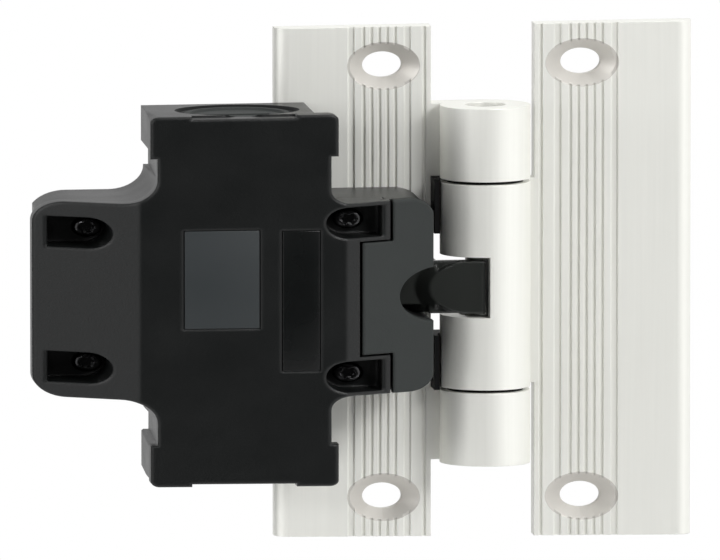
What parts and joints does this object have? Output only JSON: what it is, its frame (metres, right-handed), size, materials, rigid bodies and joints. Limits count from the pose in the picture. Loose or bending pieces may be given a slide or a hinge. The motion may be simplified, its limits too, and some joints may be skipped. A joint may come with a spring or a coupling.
{
  "type": "hinge-actuated tongue interlock switch",
  "caption": "Safety interlock switch whose black moulded housing rides on an aluminium hinge; the swinging leaf drives a tongue into the switch head.",
  "frame": {"origin": "centre of the fixed leaf's two-hole pattern, on its mounting face", "axes": "+Z along the hinge pin, +X from the fixed leaf towards the door leaf, front of the switch towards -Y"},
  "size_m": [0.1123, 0.03, 0.13],
  "materials": {
    "anodised_aluminium": "satin anodised extrusion",
    "black_moulding": "fine moulded grain",
    "black_running_plastic": "smooth, slightly glossy moulding",
    "dark_steel": "turned pin",
    "black_screw_steel": "black oxide",
    "seal_rubber": "soft matt",
    "contact_insulator": "plain moulding",
    "contact_metal": "bright strip"
  },
  "bodies": {
    "fixed_side": {"fixed_leaf": "anodised_aluminium", "hinge_pin": "dark_steel", "hinge_spacers": "black_running_plastic", "switch_base": "black_moulding", "cover_gasket": "seal_rubber", "switch_cover": "black_moulding", "actuator_head": "black_moulding", "head_gasket": "seal_rubber", "cover_screws": "black_screw_steel", "head_screws": "black_screw_steel", "leaf_screws": "black_screw_steel", "entry_plug": "black_moulding", "entry_seal": "seal_rubber", "stem_guide": "black_running_plastic", "contact_block": "contact_insulator", "fixed_contacts": "contact_metal", "terminal_screws": "contact_metal"},
    "door_side": {"moving_leaf": "anodised_aluminium", "knuckle_bushes": "black_running_plastic"},
    "tongue_side": {"tongue": "black_running_plastic", "contact_carrier": "contact_insulator", "contact_bridges": "contact_metal"}
  },
  "joints": [
    {"name": "leaf_swing", "type": "hinge", "parent": "fixed_side", "child": "door_side", "pos_m": [0.0165, -0.0075, 0], "axis": [0, 0, -1], "range_deg": [0, 100]},
    {"name": "tongue_slide", "type": "slide", "parent": "fixed_side", "child": "tongue_side", "axis": [-1, 0, 0], "range_m": [0, 0.0108]}
  ],
  "couplings": [
    {"joint": "tongue_slide", "follows": "leaf_swing", "m_per_rad": 0.00595}
  ]
}
